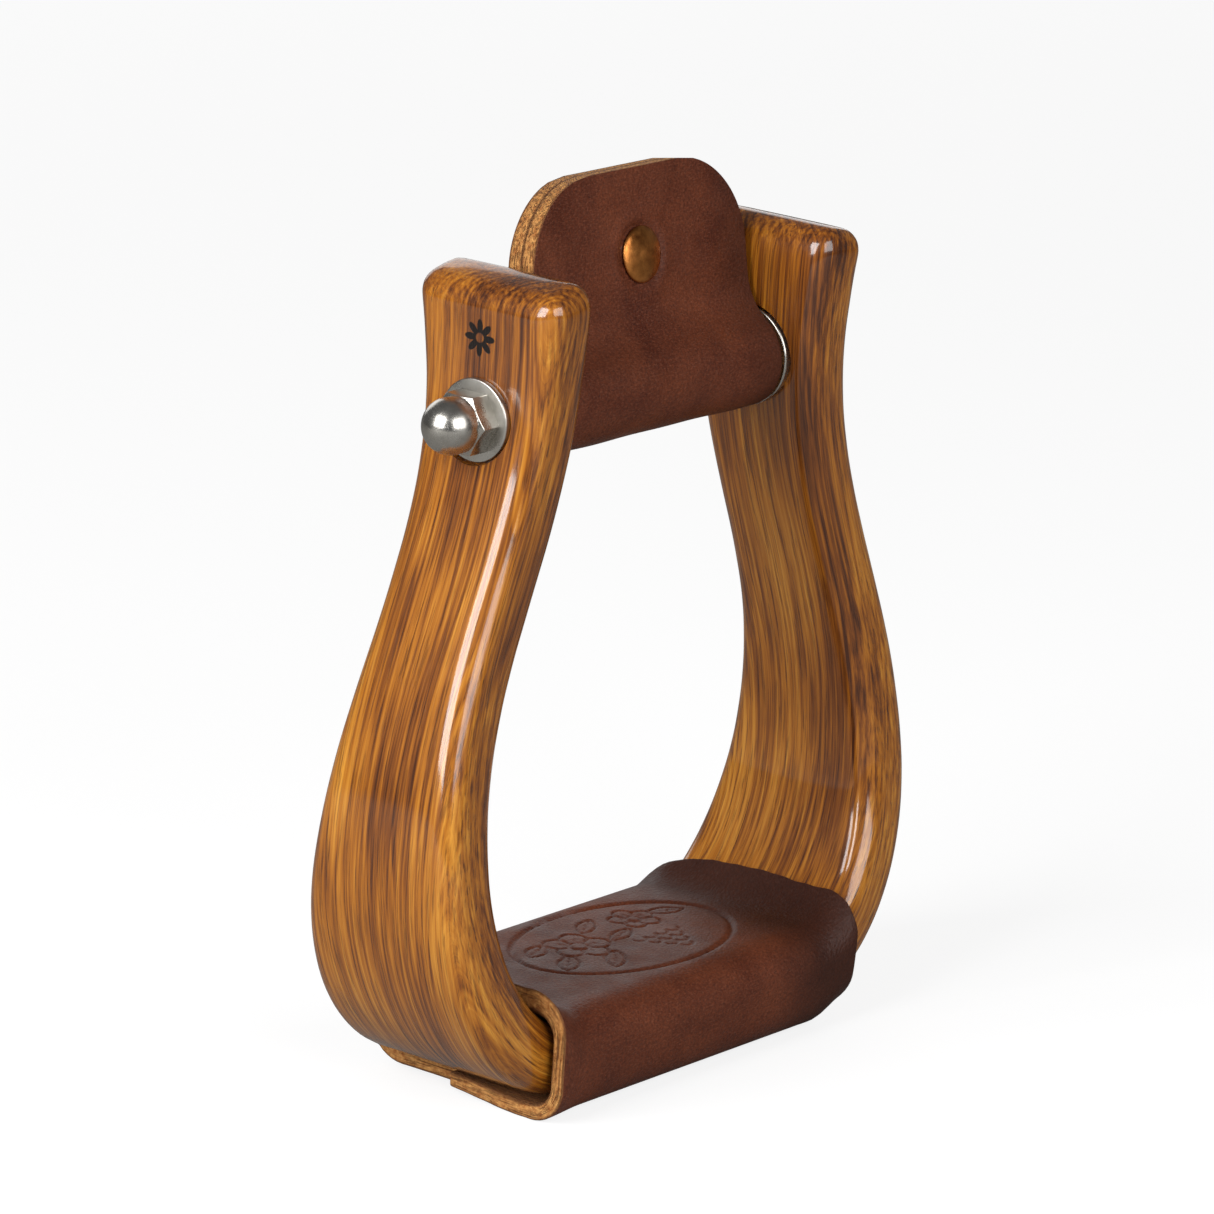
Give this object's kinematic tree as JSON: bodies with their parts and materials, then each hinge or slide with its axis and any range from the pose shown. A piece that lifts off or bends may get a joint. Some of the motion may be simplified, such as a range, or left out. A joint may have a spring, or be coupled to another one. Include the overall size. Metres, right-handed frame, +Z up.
{
  "type": "stirrup",
  "caption": "Bell-shaped bent-wood stirrup with a leather-wrapped tread, a cross bolt with domed nut, and a leather roll with standing tab between the necks.",
  "frame": {"origin": "centre of the tread's underside, on the surface the stirrup stands on", "axes": "+Z up, X across from neck to neck, -Y towards the front face of the tab; the domed nut is on the -X neck"},
  "size_m": [0.1836, 0.0662, 0.2254],
  "materials": {
    "oak": "glossy varnish",
    "leather": "matte, raw tan edges",
    "stainless": "polished",
    "zinc": "plain",
    "copper": "antique"
  },
  "bodies": {
    "frame": {"wood_frame": "oak", "tread_leather": "leather", "tread_tacks": "zinc", "cross_bolt": "stainless", "bolt_head_washer": "stainless", "nut_washer": "stainless", "acorn_nut": "stainless", "spacer_tube": "zinc", "inner_washer_left": "stainless", "inner_washer_right": "stainless"},
    "tab": {"tab_leather": "leather", "rivet_cap": "copper", "rivet_post": "copper"}
  },
  "joints": [
    {"name": "tab_swing", "type": "hinge", "parent": "frame", "child": "tab", "pos_m": [0, 0, 0.1725], "axis": [1, 0, 0], "continuous": true}
  ]
}
